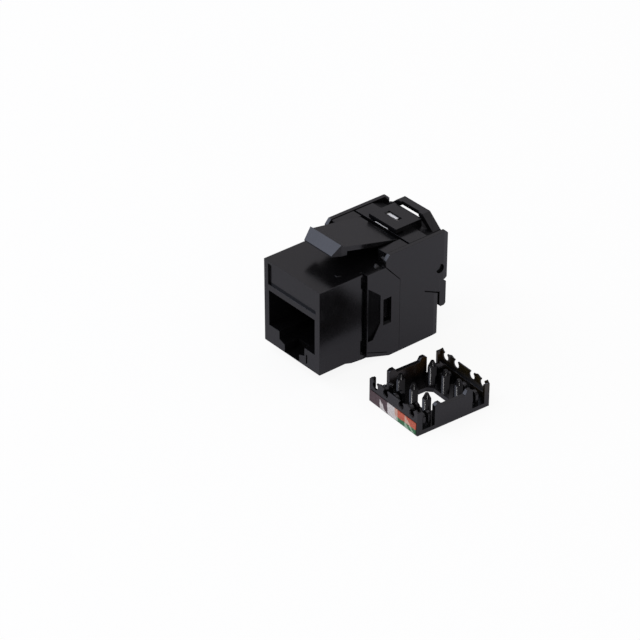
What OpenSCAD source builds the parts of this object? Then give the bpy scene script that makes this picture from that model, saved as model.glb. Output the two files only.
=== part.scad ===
// Unshielded keystone jack with a hinged rear cover, and the lacing cap that guides its wires.
// Depths run back from the front face, heights run up from the surface that the jack rests on.

/* [Front section] */
// Width of the part that passes through the panel
face_w = 14.5; // [14.2:0.1:14.8]
// Height of that part
face_h = 16.0; // [15.8:0.1:16.4]
// Height of its underside above the surface the jack rests on
face_lift = 1.7; // [1.5:0.1:2.0]
// Depth from the front face to the groove behind it
face_depth = 9.2; // [9.0:0.1:9.4]
// Width of that groove
groove_w = 0.4; // [0.3:0.05:0.5]
// Depth of that groove into each side
groove_depth = 0.7; // [0.5:0.1:0.9]
// Depth at which the panel rib under the section starts
rib_start = 5.5; // [5:0.1:6.5]
// Height of the panel rib below the section's underside
rib_drop = 0.65; // [0.4:0.05:0.9]

/* [Port] */
// Width of the plug opening
port_w = 12.0; // [11.9:0.05:12.2]
// Height of the plug opening
port_h = 6.8; // [6.7:0.1:7.0]
// Height of its floor above the section's underside
port_floor = 3.5; // [3.3:0.1:3.6]
// Depth of the plug opening
port_depth = 12.6; // [12.2:0.1:12.8]
// Width of the way for the plug's clip
clip_w = 6.6; // [6.4:0.1:6.8]
// Depth of the clip way below the port's floor
clip_drop = 1.5; // [1.3:0.1:1.7]
// Width of the gap that reaches down to the bottom edge
clip_gap_w = 3.8; // [3.6:0.1:4.2]
// How far back the clip way reaches
clip_reach = 9.0; // [8:0.1:10]
// How far back that gap reaches
clip_gap_reach = 3.0; // [2.4:0.1:3.6]
// Thickness of the web that closes the gap from below
clip_web = 0.15; // [0.12:0.01:0.3]

/* [Label recess] */
// Width of the bare recess above the port
recess_w = 12.4; // [11:0.1:12.8]
// Height of the recess
recess_h = 4.0; // [3.4:0.1:4.2]
// Depth of the recess
recess_depth = 0.4; // [0.2:0.05:0.5]
// Height of the land between the port and the recess
recess_land = 1.15; // [1:0.05:1.3]

/* [Shoulders] */
// Width over the shoulders and the rear housing
body_w = 15.9; // [15.7:0.1:16.1]
// Thickness of the side plates behind the shoulders
plate_t = 1.0; // [0.9:0.05:1.1]
// Depth of the side plates' rear edge
plate_end = 16.7; // [16.5:0.1:16.9]
// Length of the snap window, front to back
window_l = 1.7; // [1.5:0.1:1.9]
// Height of the snap window
window_h = 4.65; // [4.4:0.05:4.9]
// Depth of the snap window's front edge
window_start = 13.2; // [13.1:0.05:13.4]
// Height of the snap window's bottom edge
window_low = 6.95; // [6.8:0.05:7.2]
// Depth of the finger pocket into each shoulder
pocket_depth = 0.85; // [0.5:0.05:0.9]

/* [Roof and latch] */
// Clearance between the roof and each rear wall
roof_gap = 0.1; // [0.08:0.01:0.15]
// Depth of the roof's rear edge
roof_end = 19.2; // [19:0.1:19.4]
// Height of the roof's top face
roof_top = 19.7; // [19.6:0.05:19.75]
// Thickness of the roof's lower plate
roof_t = 1.1; // [1:0.05:1.2]
// Width of the latch at its root
latch_root_w = 9.5; // [9.2:0.1:9.8]
// Width of the latch at its tip
latch_tip_w = 8.0; // [7.8:0.1:8.4]
// Width of the latch's nose edge
latch_nose_w = 7.0; // [6.6:0.1:7.4]
// Depth of the latch's tip edge
latch_tip_d = 7.3; // [7:0.1:7.6]
// Rise of the latch's tip edge above the roof
latch_rise = 2.6; // [2.4:0.1:2.8]
// Thickness of the latch
latch_t = 0.9; // [0.8:0.05:1.0]
// Length of the nose in front of the tip edge
nose_l = 1.7; // [1.5:0.1:1.8]
// Drop of the nose below the tip edge
nose_drop = 1.4; // [1.2:0.1:1.5]
// Radius of the latch's root pins
latch_pin_r = 0.5; // [0.45:0.01:0.52]
// Radial clearance of every pin in its hole
pin_gap = 0.06; // [0.04:0.01:0.08]

/* [Rear housing] */
// Thickness of the side walls
wall_t = 0.8; // [0.7:0.05:0.8]
// Thickness of the floor
floor_t = 0.9; // [0.8:0.05:1.0]
// Height of the side walls
wall_top = 19.8; // [19.75:0.05:20]
// Depth of the lower wall's rear edge
wall_low_end = 25.4; // [25.2:0.1:25.6]
// Depth of the upper wall's rear edge
wall_high_end = 27.4; // [27.2:0.1:27.6]
// Height at which the upper wall's overhang starts
overhang_h = 10.3; // [10.1:0.1:10.6]
// Width of every parting gap between pieces
seam = 0.1; // [0.08:0.01:0.12]

/* [Rear cover] */
// Clearance between the cover and each side wall
cover_gap = 0.15; // [0.12:0.01:0.2]
// Thickness of the cover's plate
cover_t = 1.1; // [1:0.05:1.2]
// Width of the gap between the roof and the cover
slot_w = 0.4; // [0.35:0.05:0.5]
// Width of the raised tongue
tongue_w = 7.0; // [6.8:0.1:7.2]
// Height of the tongue above the cover's plate
tongue_rise = 1.0; // [0.9:0.05:1.1]
// Width of the window in the tongue
eye_w = 3.3; // [3:0.1:3.6]
// Length of the window in the tongue
eye_l = 1.1; // [0.9:0.05:1.2]
// Width of the tie bridge at its top
bridge_top_w = 6.4; // [6.2:0.1:6.6]
// Width of the tie bridge at its foot
bridge_foot_w = 11.8; // [11.4:0.1:12]
// Height of the tie bridge's top
bridge_top = 21.3; // [21.1:0.1:21.5]
// Length of the tie bridge, front to back
bridge_l = 1.75; // [1.6:0.05:1.8]
// Width of the tie slot
tie_w = 4.4; // [4.2:0.1:4.8]
// Radius of the cover's pivot pins
pivot_r = 0.8; // [0.75:0.01:0.85]
// Depth of the pivot
pivot_d = 25.7; // [25.6:0.05:25.8]
// Height of the pivot
pivot_h = 12.8; // [12.6:0.1:13]

/* [Contacts and board] */
// Spacing of the contacts in the port
contact_pitch = 1.02; // [1:0.01:1.04]
// Width of one contact
contact_w = 0.4; // [0.35:0.01:0.45]
// Thickness of one contact
contact_t = 0.3; // [0.25:0.01:0.32]
// Slope of the contacts' free legs, in degrees
contact_slope = 21; // [18:1:23]
// Thickness of the circuit board
board_t = 1.0; // [0.8:0.05:1.0]
// Spacing from the middle to the inner wire slots
wire_inner = 2.05; // [2:0.01:2.1]
// Spacing from the middle to the outer wire slots
wire_outer = 4.85; // [4.8:0.01:4.9]
// Distance between the two rows of terminals
row_gap = 9.8; // [9.6:0.1:10]
// Width of one terminal blade
blade_w = 1.7; // [1.6:0.05:1.8]
// Thickness of one terminal blade
blade_t = 0.4; // [0.35:0.05:0.45]

/* [Lacing cap] */
// Distance from the outer wires to the cap's sides
cap_margin = 1.55; // [1.4:0.05:1.7]
// Length of the cap across its label
cap_l = 14.9; // [14.7:0.1:15.1]
// Thickness of the cap's base
cap_base = 0.85; // [0.75:0.05:0.95]
// Thickness of the cap's walls
cap_wall = 0.8; // [0.7:0.05:0.9]
// Thickness of the slotted upper walls
cap_thin = 0.25; // [0.2:0.05:0.35]
// Height of the cap's walls along the labels
cap_h = 4.4; // [4.3:0.1:4.6]
// Height of its other two walls
cap_side_h = 4.05; // [3.9:0.05:4.2]
// Height of the corner posts' peaks
cap_post_h = 4.9; // [4.8:0.1:5.1]
// Width of one corner post
cap_post_w = 1.05; // [0.95:0.05:1.1]
// Width of the cable hole in the base
hole_w = 5.8; // [5.6:0.1:6]
// Length of the cable hole in the base
hole_l = 5.0; // [4.8:0.1:5.2]
// Height of the colour label
label_h = 2.15; // [2:0.05:2.3]
// Thickness of the colour label
label_t = 0.12; // [0.1:0.01:0.15]
// Sideways place of the cap's corner, from the jack's middle
cap_x = 16.0; // [12:0.5:24]
// Depth of the cap's corner
cap_d = 3.35; // [0:0.05:8]
// Turn of the cap on the surface, in degrees
cap_turn = -3.3; // [-20:0.1:20]

/* [Hidden] */
$fn = 40;

plastic = [0.07, 0.07, 0.08];
latch_plastic = [0.10, 0.10, 0.12];
inner_plastic = [0.12, 0.12, 0.13];
gold = [0.83, 0.66, 0.30];
tin = [0.75, 0.75, 0.77];
board_green = [0.06, 0.28, 0.16];
label_white = [0.88, 0.86, 0.84];

// Overrun of every cut past the face it opens
over = 0.2;
// Sink of every joined piece into its neighbour of the same solid
sink = 0.05;

// Front section: heights, groove and rib
face_low = face_lift;
face_top = face_lift + face_h;
core_w = face_w - 2 * groove_depth;
shoulder_start = face_depth + groove_w;
rib_low = face_low - rib_drop;
rib_ramp_l = 1.35;
rib_ramp_h = 0.4;
// Height of the groove's floor above the section's underside
groove_foot = 0.3;
// Slope of the clip way's floor on both sides of the gap
clip_slope_h = 0.5;
// The groove's two wide ends
well_w = 0.9;
well_lead = 0.35;
well_start = face_depth - well_lead;
well_end = well_start + well_w;
well_depth = 1.0;
well_top_h = 2.6;
well_low_h = 3.2;
well_edge = 0.35;
well_foot = 0.45;

// Port, recess and the small marks of the mould
port_low = face_low + port_floor;
port_top = port_low + port_h;
clip_low = port_low - clip_drop;
recess_low = port_top + recess_land;
slit_x = 3.86;
slit_mark_w = 0.3;
slit_mark_h = 1.9;
slit_mark_low = 0.55;
dimple_r = 0.55;
dimple_h = 0.12;
dimple_x = 4.7;
dimple_d = 6.1;

// Shoulders and side plates
half_body = body_w / 2;
plate_in = half_body - plate_t;
shoulder_drop = 0.1;
shoulder_low = face_low - shoulder_drop;
floor_land = 2.1;
ramp_end = plate_end - floor_land;
ramp_slope = shoulder_low / (ramp_end - shoulder_start);
rib_rear = shoulder_start + (shoulder_low - rib_low) / ramp_slope;
// Fine line along the shoulder's foot
line_w = 0.12;
line_depth = 0.12;
line_front_h = 0.9;
line_rear_h = 0.65;
line_start = shoulder_start + sink;
line_back = 0.5;
line_end = ramp_end - line_back;
line_foot = ramp_slope * line_back;
diag_l = 3.2;
diag_h = 3.5;
diag_start = plate_end - diag_l;
diag_low = face_top - diag_h;
window_end = window_start + window_l;
window_high = window_low + window_h;
pocket_margin = 0.25;
pocket_rear_depth = 0.12;
pocket_web = 0.72;
pocket_foot = 2.35;
pocket_foot_l = 1.05;
pocket_foot_h = 2.7;
pocket_head = 3.3;
pocket_head_h = 2.15;
pocket_front = shoulder_start + pocket_margin;
pocket_rear = window_start - pocket_web;
pocket_low = window_low - pocket_foot;
pocket_high = window_high + pocket_head;
// Sloped sill under the snap window
sill_h = 0.45;
sill_depth = 0.35;
bay_web = 0.45;
bay_step = 0.3;
bay_start = port_depth + bay_web;
bay_low = floor_t + bay_step;
roof_low = face_top - roof_t;

// Roof strips beside the latch, each with a ledge at its foot
roof_w = body_w - 2 * wall_t - 2 * roof_gap;
latch_gap = 0.15;
strip_in = latch_root_w / 2 + latch_gap;
strip_reach = 2.35;
strip_lean = 0.1;
strip_front = plate_end - strip_reach;
ledge_l = 0.4;
ledge_w = 0.95;
ledge_h = 1.0;
ledge_slope_h = 0.15;
// Low stops that the latch's sides run down to
stop_w = 0.75;
stop_l = 0.95;
stop_slope_l = 0.45;
stop_h = 0.42;
stop_gap = 2.3;
stop_side = 0.2;
stop_start = strip_front - stop_gap;

// Latch
latch_pin_back = 0.9;
latch_pin_drop = 0.85;
latch_pin_l = 1.45;
latch_pin_d = roof_end - latch_pin_back;
latch_pin_h = roof_top - latch_pin_drop;
latch_pin_end = strip_in + latch_pin_l;
latch_hole_end = latch_pin_end + seam;
latch_rear = roof_end - over;
latch_tip_top = roof_top + latch_rise;
// Raised lip along the tip edge
lip_l = 0.3;
lip_rise = 0.2;
lip_d = latch_tip_d + lip_l;
latch_front_top = latch_tip_top - lip_rise;
latch_slope = (latch_front_top - roof_top) / (latch_rear - lip_d);
latch_straight = 1.2;
root_lead = 0.75;
root_drop = 0.65;
root_front = latch_pin_d - root_lead;
root_low = latch_pin_h - root_drop;
nose_front = latch_tip_d - nose_l;
nose_top = latch_tip_top - nose_drop;
hook_l = 0.9;
hook_drop = 0.75;
hook_d = lip_d + hook_l;
hook_h = latch_front_top - latch_slope * hook_l - latch_t;

// Rear housing
wall_in = half_body - wall_t;
rear_start = plate_end + seam;
wall_corner = 0.6;
// Sloped nose at the front of each wall, over the shoulder
wall_nose_l = 0.85;
wall_nose_h = 0.95;
wall_notch = 0.35;
wall_notch_h = wall_notch * diag_h / diag_l;
wall_nose_d = diag_start + seam;
wall_lip = 0.1;
// Shallow relief along the rear edges
relief_l = 0.95;
relief_depth = 0.12;
slit_w = 0.22;
slit_l = 3.1;
slit_rise = 1.45;
slit_below = 2.2;
// Thickness left behind the slit
slit_web = 0.3;
slit_slope = slit_rise / slit_l;
slit_front = wall_low_end - slit_l;
slit_rear_h = overhang_h - slit_below;
slit_front_h = slit_rear_h + slit_rise;
finger_gap = 0.6;
finger_l = 5.4;
finger_corner = 0.3;
finger_inset = 0.3;
finger_t = 1.3;
finger_front = wall_low_end + finger_gap;
finger_rear = wall_high_end;
finger_slit_h = slit_rear_h + slit_w - slit_slope * finger_gap;
finger_low = overhang_h - finger_l;
neck_l = 0.7;
neck_depth = 0.5;
finger_top = overhang_h - neck_l;
neck_d = wall_high_end - neck_depth;
// Snap arms that hold the rear housing in the side plates' windows
arm_t = 0.7;
arm_margin = 0.35;
arm_root_l = 1.0;
arm_out = plate_in - seam;
arm_in = arm_out - arm_t;
arm_front = window_start - seam;
arm_root = rear_start + arm_root_l;
arm_low = window_low + arm_margin;
arm_high = window_high - arm_margin;
catch_reach = 0.35;
catch_flat = 0.45;

// Rear cover
cover_w = 2 * wall_in - 2 * cover_gap;
cover_drop = 0.1;
cover_top = wall_top - cover_drop;
cover_front = roof_end + slot_w;
deck_drop = 0.7;
deck_slope_l = 2.25;
bridge_front = wall_high_end - bridge_l;
bridge_side_h = 2.3;
bridge_side_drop = 0.4;
bridge_foot_h = bridge_top - bridge_side_h;
deck_break = bridge_front - deck_slope_l;
deck_low = cover_top - deck_drop - cover_t;
tongue_t = 0.8;
tongue_back = 0.35;
tongue_gap_l = 1.6;
tongue_top = cover_top + tongue_rise;
tongue_end = bridge_front - tongue_back;
eye_back = 2.1;
eye_start = cover_front + eye_back;
eye_side = 0.3;
tie_reach = 0.3;
tie_rear = bridge_front + tie_reach;
tie_low = bridge_foot_h - seam;
strap_t = 0.75;
bridge_leg = 1.25;
arch_depth = 1.8;
arch_low = bridge_foot_h - arch_depth;
ear_t = 0.8;
ear_r = 1.4;
ear_l = 2.2;
ear_rise = 2.2;
ear_out = cover_w / 2;
ear_in = ear_out - ear_t;
ear_front = pivot_d - ear_l;
pivot_inset = 0.45;
pivot_end = half_body - pivot_inset;

// Contacts, carrier and board
contact_count = 8;
contact_mid = (contact_count + 1) / 2;
carrier_start = 4.9;
carrier_gap = 0.1;
carrier_lift = 0.25;
carrier_t = 2.4;
carrier_low = port_top + carrier_lift;
carrier_top = carrier_low + carrier_t;
carrier_side = 1.42;
carrier_w = (contact_count - 1) * contact_pitch + 2 * carrier_side + contact_w + carrier_gap * 2;
contact_bay_start = 3.2;
contact_drop = 0.7;
contact_h = carrier_top - contact_drop;
bend_r = 0.7;
bend_lead = 0.25;
bend_d = carrier_start - bend_lead;
contact_leg = 7.3;
contact_slot_gap = 0.15;
contact_slot_w = contact_w + contact_slot_gap;
board_gap = 0.15;
board_lift = 0.7;
board_front = rear_start + board_gap;
board_rear = board_front + board_t;
board_w = 2 * (arm_in - seam);
board_low = floor_t + board_lift;
board_top = roof_low - carrier_lift;
block_t = 2.2;
block_rear = board_rear + block_t;
block_w = 2 * wall_in - seam;
block_top = roof_low - seam;
row_mid = (floor_t + block_top) / 2;
tower_l = 4.45;
tower_w = 2.3;
tower_h = 2.5;
tower_end = block_rear + tower_l;
wire_slot_w = 0.95;
wire_slot_l = 3.2;
blade_inset = 0.7;
blade_end = tower_end - blade_inset;
blade_fork_w = 0.45;
blade_fork_l = 2.6;
blade_gap = 0.05;

// Lacing cap, in its own place with its near left corner at nought
wire_places = [-wire_outer, -wire_inner, wire_inner, wire_outer];
cap_w = 2 * (wire_outer + cap_margin);
tooth_mid = (wire_inner + wire_outer) / 2;
cap_mid_w = cap_w / 2;
cap_mid_l = cap_l / 2;
key_r = 0.68;
key_drop = 0.75;
key_h = cap_h - key_drop;
mouth_w = 0.85;
flare_w = 1.05;
flare_h = 0.2;
tooth_w = 1.7;
tooth_h = 0.3;
// Height below the slots at which the upper walls get thin
thin_drop = 0.4;
thin_low = key_h - key_r - thin_drop;
post_t = 0.45;
side_gap = 2.5;
side_start = cap_post_w + side_gap;
// Humps at both ends of the side walls
hump_l = 1.55;
hump_rise = 0.75;
hump_slope_l = 0.45;
hump_end_drop = 0.3;
peg_r = 0.75;
peg_tip_r = 0.3;
peg_h = 5.2;
peg_cone = 1.1;
peg_back = 4.15;
// Rests with round tops under the wires
rest_l = 1.7;
rest_r = 0.8;
rest_h = 2.2;
rest_slit = 0.55;
hole_corner = 0.9;
label_margin = 0.35;
label_low = 0.22;

// Middle of the flat underside, which is the origin
seat_mid = (ramp_end + wall_low_end) / 2;
module seated() translate([0, -seat_mid, 0]) children();
module both_sides() {
    children();
    mirror([1, 0, 0]) children();
}
// Slab with an outline of depths and heights, from x_in outwards
module slab(outline, x_in, thick)
    translate([x_in, 0, 0]) rotate([90, 0, 90]) linear_extrude(thick) polygon(outline);
// Block centred on the jack's middle, between two depths and two heights
module block(wide, near, far, low, high)
    translate([-wide / 2, near, low]) cube([wide, far - near, high - low]);
// Round bar across the jack, from x_in outwards
module bar(radius, x_in, length, deep, high)
    translate([x_in, deep, high]) rotate([0, 90, 0]) cylinder(r = radius, h = length);

module front_body() {
    block(face_w, 0, face_depth, face_low, face_top);
    block(core_w, face_depth - sink, shoulder_start + sink, rib_low, face_top);
    slab([[rib_start, face_low + sink], [rib_start, face_low],
        [rib_start + rib_ramp_l, face_low - rib_ramp_h], [face_depth, rib_low], [rib_rear, rib_low],
        [rib_rear, face_low + groove_foot], [face_depth - sink, face_low + groove_foot],
        [face_depth - sink, face_low + sink]], -face_w / 2, face_w);
    slab([[shoulder_start, shoulder_low], [ramp_end, 0], [plate_end, 0],
        [plate_end, diag_low], [diag_start, face_top], [shoulder_start, face_top]],
        -half_body, body_w);
    slab([[bay_start, roof_low], [roof_end, roof_low], [roof_end, face_top],
        [bay_start, face_top]], -roof_w / 2, roof_w);
    both_sides() {
        slab([[strip_front, face_top - sink], [strip_front + strip_lean, roof_top],
            [roof_end, roof_top], [roof_end, face_top - sink]], strip_in, roof_w / 2 - strip_in);
        slab([[strip_front - ledge_l, face_top - sink], [strip_front - ledge_l, face_top + ledge_h],
            [strip_front + sink, face_top + ledge_h + ledge_slope_h],
            [strip_front + sink, face_top - sink]], roof_w / 2 - ledge_w, ledge_w);
        slab([[stop_start, face_top - sink], [stop_start + stop_slope_l, face_top + stop_h],
            [stop_start + stop_l, face_top + stop_h], [stop_start + stop_l, face_top - sink]],
            face_w / 2 - stop_side - stop_w, stop_w);
    }
    translate([dimple_x, dimple_d, face_top - sink]) cylinder(r = dimple_r, h = dimple_h + sink);
}

// Section of the clip way: wide below the port, with a floor that slopes to the gap
module clip_section() polygon([
    [-clip_w / 2, port_low + over], [-clip_w / 2, clip_low], [-clip_gap_w / 2, clip_low - clip_slope_h],
    [clip_gap_w / 2, clip_low - clip_slope_h], [clip_w / 2, clip_low], [clip_w / 2, port_low + over]]);

module port_cuts() {
    block(port_w, -over, port_depth, port_low, port_top);
    translate([0, clip_reach, 0]) rotate([90, 0, 0]) linear_extrude(clip_reach + over) clip_section();
    block(clip_gap_w, -over, clip_gap_reach, face_low + clip_web, clip_low);
    block(carrier_w + 2 * carrier_gap, contact_bay_start, bay_start + over,
        port_top - over, carrier_top + carrier_gap);
    block(recess_w, -over, recess_depth, recess_low, recess_low + recess_h);
    translate([slit_x - slit_mark_w / 2, -over, face_low + slit_mark_low])
        cube([slit_mark_w, recess_depth + over, slit_mark_h]);
}

module side_cuts() {
    // Finger pocket with a sloped floor, and snap window
    intersection() {
        slab([[pocket_front, pocket_low], [pocket_front + pocket_foot_l, pocket_low],
            [pocket_rear, pocket_low + pocket_foot_h], [pocket_rear, pocket_high - pocket_head_h],
            [pocket_front, pocket_high]], half_body - pocket_depth, pocket_depth + over);
        linear_extrude(face_top) polygon([[half_body - pocket_depth, pocket_front],
            [half_body + over, pocket_front], [half_body + over, pocket_rear],
            [half_body - pocket_rear_depth, pocket_rear]]);
    }
    slab([[window_start, window_low], [window_end, window_low], [window_end, window_high],
        [window_start, window_high]], plate_in - over, plate_t + 2 * over);
    // Sloped sill under the window, and the line along the shoulder's foot
    translate([0, window_end, 0]) rotate([90, 0, 0]) linear_extrude(window_l)
        polygon([[half_body - sill_depth, window_low + over], [half_body - sill_depth, window_low],
            [half_body, window_low - sill_h], [half_body + over, window_low - sill_h],
            [half_body + over, window_low + over]]);
    slab([[line_start, shoulder_low + line_front_h], [line_end, line_rear_h + line_foot],
        [line_end, line_rear_h + line_foot + line_w],
        [line_start, shoulder_low + line_front_h + line_w]],
        half_body - line_depth, line_depth + over);
    // Wide ends of the groove
    slab([[well_start, face_top - well_top_h], [well_end, face_top - well_top_h],
        [well_end, face_top - well_edge], [well_start, face_top - well_edge]],
        core_w / 2, well_depth + over);
    slab([[well_start, face_low + well_foot], [well_end, face_low + well_foot],
        [well_end, face_low + well_low_h], [well_start, face_low + well_low_h]],
        core_w / 2, well_depth + over);
    bar(latch_pin_r + pin_gap, strip_in - over, latch_hole_end - strip_in + over,
        latch_pin_d, latch_pin_h);
}

module front_housing() color(plastic) seated() difference() {
    front_body();
    port_cuts();
    both_sides() side_cuts();
    block(2 * plate_in, bay_start, plate_end + over, bay_low, roof_low);
}

module panel_latch() color(latch_plastic) seated() {
    difference() {
        slab([[nose_front, nose_top], [latch_tip_d, latch_tip_top],
            [lip_d, latch_front_top], [latch_rear, roof_top],
            [latch_rear, root_low], [root_front, root_low],
            [root_front, roof_top + latch_slope * (latch_rear - root_front) - latch_t],
            [hook_d, hook_h], [hook_d, hook_h - hook_drop],
            [nose_front + hook_l, nose_top - hook_drop / 2], [nose_front, nose_top - hook_drop / 3]],
            -latch_root_w / 2, latch_root_w);
        // Sides that close in from the root to the nose
        both_sides() translate([0, 0, root_low - over]) linear_extrude(latch_tip_top)
            polygon([[latch_nose_w / 2, nose_front - over], [latch_nose_w / 2, nose_front],
                [latch_tip_w / 2, latch_tip_d], [latch_root_w / 2, latch_rear - latch_straight],
                [latch_root_w / 2 + over, latch_rear], [latch_root_w, nose_front - over]]);
    }
    both_sides() bar(latch_pin_r, latch_root_w / 2 - sink, latch_pin_end - latch_root_w / 2 + sink,
        latch_pin_d, latch_pin_h);
}

module side_wall() slab([
    [rear_start, 0], [wall_low_end, 0], [wall_low_end, slit_rear_h], [slit_front, slit_front_h],
    [slit_front, slit_front_h + slit_w], [finger_front, finger_slit_h],
    [finger_front, finger_low + finger_corner], [finger_front + finger_corner, finger_low],
    [finger_rear - finger_corner, finger_low], [finger_rear, finger_low + finger_corner],
    [finger_rear, finger_top], [neck_d, finger_top + finger_corner], [neck_d, overhang_h],
    [wall_high_end, overhang_h + finger_corner], [wall_high_end, wall_top - wall_corner],
    [wall_high_end - wall_corner, wall_top], [wall_nose_d + wall_nose_l, wall_top],
    [wall_nose_d, wall_top - wall_nose_h], [wall_nose_d, face_top + wall_lip],
    [wall_nose_d + wall_notch, face_top + wall_lip - wall_notch_h],
    [rear_start, diag_low + seam / 2]], wall_in, wall_t);

// Thick part of the finger behind the lower wall
module wall_finger() slab([
    [finger_front, finger_low + finger_corner], [finger_front + finger_corner, finger_low],
    [finger_rear - finger_corner, finger_low], [finger_rear, finger_low + finger_corner],
    [finger_rear, finger_top], [finger_front, finger_top]],
    half_body - finger_inset - finger_t, finger_t);

// Wedge that takes the shallow relief off a rear edge, between two heights
module edge_relief(deep, low, high) translate([0, 0, low]) linear_extrude(high - low) polygon([
    [half_body, deep - relief_l], [half_body + over, deep - relief_l],
    [half_body + over, deep + over], [half_body - relief_depth, deep + over],
    [half_body - relief_depth, deep]]);

module snap_arm() {
    slab([[arm_front, arm_low], [arm_root, arm_low], [arm_root, arm_high], [arm_front, arm_high]],
        arm_in, arm_t);
    slab([[rear_start, arm_low], [arm_root, arm_low], [arm_root, arm_high], [rear_start, arm_high]],
        arm_out - sink, wall_in - arm_out + 2 * sink);
    // Catch with a sloped front
    translate([0, 0, arm_low]) linear_extrude(arm_high - arm_low)
        polygon([[arm_out - sink, window_start + seam], [arm_out, window_start + seam],
            [arm_out + catch_reach, window_end - catch_flat],
            [arm_out + catch_reach, window_end - seam], [arm_out - sink, window_end - seam]]);
}

module rear_housing() color(plastic) seated() {
    difference() {
        union() {
            both_sides() {
                side_wall();
                slab([[slit_front, slit_front_h - sink], [wall_low_end, slit_rear_h - sink],
                    [wall_low_end, slit_rear_h + slit_w + sink],
                    [slit_front, slit_front_h + slit_w + sink]], wall_in, slit_web);
            }
            block(2 * wall_in + 2 * sink, rear_start, wall_low_end, 0, floor_t);
        }
        both_sides() {
            bar(pivot_r + pin_gap, wall_in - over, wall_t + 2 * over, pivot_d, pivot_h);
            translate([half_body - finger_inset, finger_front - finger_gap / 2, finger_low - over])
                cube([finger_inset + over, finger_rear - wall_low_end, finger_l + over]);
            edge_relief(wall_high_end, overhang_h - over, wall_top + over);
            edge_relief(wall_low_end, -over, slit_rear_h);
        }
    }
    both_sides() {
        snap_arm();
        wall_finger();
    }
}

module cover_plate() {
    slab([[cover_front, cover_top - cover_t], [cover_front, cover_top], [deck_break, cover_top],
        [bridge_front + sink, cover_top - deck_drop], [bridge_front + sink, deck_low],
        [deck_break, cover_top - cover_t]], -cover_w / 2, cover_w);
    slab([[cover_front, tongue_top - tongue_t], [cover_front, tongue_top],
        [tongue_end, tongue_top], [tongue_end, cover_top - deck_drop - sink],
        [cover_front + tongue_gap_l, cover_top - sink],
        [cover_front + tongue_gap_l, tongue_top - tongue_t]], -tongue_w / 2, tongue_w);
}

module tie_bridge()
    translate([0, wall_high_end, 0]) rotate([90, 0, 0]) linear_extrude(bridge_l) polygon([
        [-bridge_top_w / 2, bridge_top], [bridge_top_w / 2, bridge_top],
        [bridge_foot_w / 2, bridge_foot_h], [ear_out, bridge_foot_h - bridge_side_drop],
        [ear_out, arch_low], [-ear_out, arch_low],
        [-ear_out, bridge_foot_h - bridge_side_drop], [-bridge_foot_w / 2, bridge_foot_h]]);

module cover_ear() {
    slab([[ear_front, deck_low + sink], [ear_front, pivot_h + ear_rise],
        [pivot_d - ear_r, pivot_h], [wall_high_end, pivot_h], [wall_high_end, arch_low + sink],
        [bridge_front + sink, deck_low + sink]], ear_in, ear_t);
    bar(ear_r, ear_in, ear_t, pivot_d, pivot_h);
    bar(pivot_r, ear_out - sink, pivot_end - ear_out + sink, pivot_d, pivot_h);
}

module rear_cover() color(plastic) seated() {
    difference() {
        union() {
            cover_plate();
            tie_bridge();
        }
        translate([-eye_side, 0, 0])
            block(eye_w, eye_start, eye_start + eye_l, deck_low - over, tongue_top + over);
        block(tie_w, tongue_end, tie_rear, tie_low, bridge_top + over);
        // Way for the tie under the strap and between the bridge's legs
        translate([0, wall_high_end + over, 0]) rotate([90, 0, 0])
            linear_extrude(bridge_l + 2 * over) polygon([
                [-tie_w / 2, bridge_top - strap_t], [tie_w / 2, bridge_top - strap_t],
                [bridge_foot_w / 2 - bridge_leg, tie_low], [bridge_leg - bridge_foot_w / 2, tie_low]]);
    }
    both_sides() cover_ear();
}

module contact_carrier() color(inner_plastic) seated() difference() {
    block(carrier_w, carrier_start, rear_start, carrier_low, carrier_top);
    for (i = [1 : contact_count])
        translate([(i - contact_mid) * contact_pitch, 0, 0])
            block(contact_slot_w, carrier_start - over, board_front, carrier_low - over,
                contact_h + contact_t / 2 + carrier_gap);
}

// Spring contact: a straight leg to the board, a round bend, and the leg that a plug presses up
module port_contact(number) color(gold) seated()
    translate([(number - contact_mid) * contact_pitch - contact_w / 2, 0, 0])
        rotate([90, 0, 90]) linear_extrude(contact_w) {
            translate([bend_d - sink, contact_h - contact_t / 2])
                square([board_front - bend_d + sink, contact_t]);
            translate([bend_d, contact_h - bend_r]) {
                difference() {
                    circle(bend_r + contact_t / 2);
                    circle(bend_r - contact_t / 2);
                    polygon([[0, 2 * bend_r], [0, 0],
                        [-2 * bend_r * sin(contact_slope), -2 * bend_r * cos(contact_slope)],
                        [2 * bend_r, -2 * bend_r], [2 * bend_r, 2 * bend_r]]);
                }
                rotate(-contact_slope) translate([-sink, -bend_r - contact_t / 2])
                    square([contact_leg + sink, contact_t]);
            }
        }

module circuit_board() color(board_green) seated()
    block(board_w, board_front, board_rear, board_low, board_top);

// Places of the terminals: half of them in the low row, half in the high row
row_count = contact_count / 2;
function terminal_x(number) = wire_places[(number - 1) % row_count];
function terminal_h(number) = row_mid + (number > row_count ? row_gap / 2 : -row_gap / 2);

module idc_block() color(inner_plastic) seated() difference() {
    union() {
        block(block_w, board_rear, block_rear, floor_t, block_top);
        for (i = [1 : contact_count])
            translate([terminal_x(i), 0, terminal_h(i)])
                block(tower_w, block_rear - sink, tower_end, -tower_h / 2, tower_h / 2);
    }
    for (i = [1 : contact_count])
        translate([terminal_x(i), 0, terminal_h(i)]) {
            block(wire_slot_w, tower_end - wire_slot_l, tower_end + over, -tower_h, tower_h);
            block(blade_w + 2 * blade_gap, board_rear - over, tower_end + over,
                -blade_t / 2 - blade_gap, blade_t / 2 + blade_gap);
        }
}

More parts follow.
